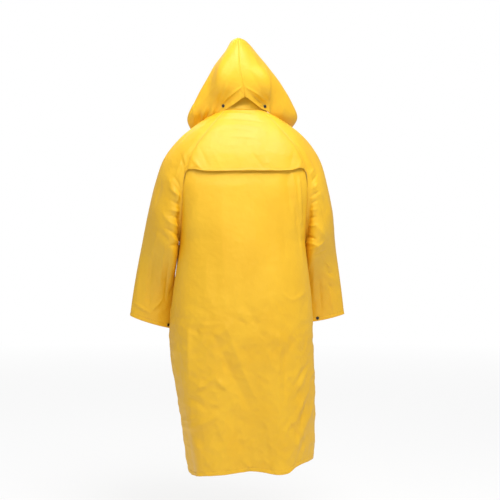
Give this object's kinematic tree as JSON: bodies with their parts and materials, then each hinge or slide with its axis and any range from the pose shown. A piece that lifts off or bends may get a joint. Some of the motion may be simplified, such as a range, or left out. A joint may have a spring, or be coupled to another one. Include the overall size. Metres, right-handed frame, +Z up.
{
  "type": "hooded raincoat",
  "caption": "Long hooded raincoat in its worn shape: raglan sleeves, stand collar, pointed hood held on by snaps, vented back cape, storm fly and open hem, hollow inside.",
  "frame": {"origin": "middle of the neck opening, level with the back neck seam, where the wearer's neck and shoulders carry the coat", "axes": "+Z up along the wearer, -Y out of the front of the coat, +Y out of its back, +X to the wearer's left"},
  "size_m": [0.7599, 0.3528, 1.4936],
  "materials": {
    "back_panel": "coated rain cloth, soft semi-gloss",
    "back_cape": "coated rain cloth, soft semi-gloss",
    "front_left": "coated rain cloth, soft semi-gloss",
    "front_right": "coated rain cloth, soft semi-gloss",
    "storm_fly": "coated rain cloth, soft semi-gloss",
    "collar": "coated rain cloth, soft semi-gloss",
    "sleeve_back_left": "coated rain cloth, soft semi-gloss",
    "sleeve_front_left": "coated rain cloth, soft semi-gloss",
    "sleeve_back_right": "coated rain cloth, soft semi-gloss",
    "sleeve_front_right": "coated rain cloth, soft semi-gloss",
    "hood_left": "coated rain cloth, soft semi-gloss",
    "hood_right": "coated rain cloth, soft semi-gloss",
    "hood_snap_left": "dark enamelled snap cap",
    "hood_snap_right": "dark enamelled snap cap",
    "cuff_snap_left": "dark enamelled snap cap",
    "cuff_snap_right": "dark enamelled snap cap",
    "fly_snap_1": "dark enamelled snap cap",
    "fly_snap_2": "dark enamelled snap cap",
    "fly_snap_3": "dark enamelled snap cap",
    "fly_snap_4": "dark enamelled snap cap",
    "fly_snap_5": "dark enamelled snap cap",
    "fly_snap_6": "dark enamelled snap cap"
  },
  "bodies": {
    "root": {"back_panel": "back_panel", "back_cape": "back_cape", "front_left": "front_left", "front_right": "front_right", "storm_fly": "storm_fly", "collar": "collar", "sleeve_back_left": "sleeve_back_left", "sleeve_front_left": "sleeve_front_left", "sleeve_back_right": "sleeve_back_right", "sleeve_front_right": "sleeve_front_right", "hood_left": "hood_left", "hood_right": "hood_right", "hood_snap_left": "hood_snap_left", "hood_snap_right": "hood_snap_right", "cuff_snap_left": "cuff_snap_left", "cuff_snap_right": "cuff_snap_right", "fly_snap_1": "fly_snap_1", "fly_snap_2": "fly_snap_2", "fly_snap_3": "fly_snap_3", "fly_snap_4": "fly_snap_4", "fly_snap_5": "fly_snap_5", "fly_snap_6": "fly_snap_6"}
  },
  "joints": []
}
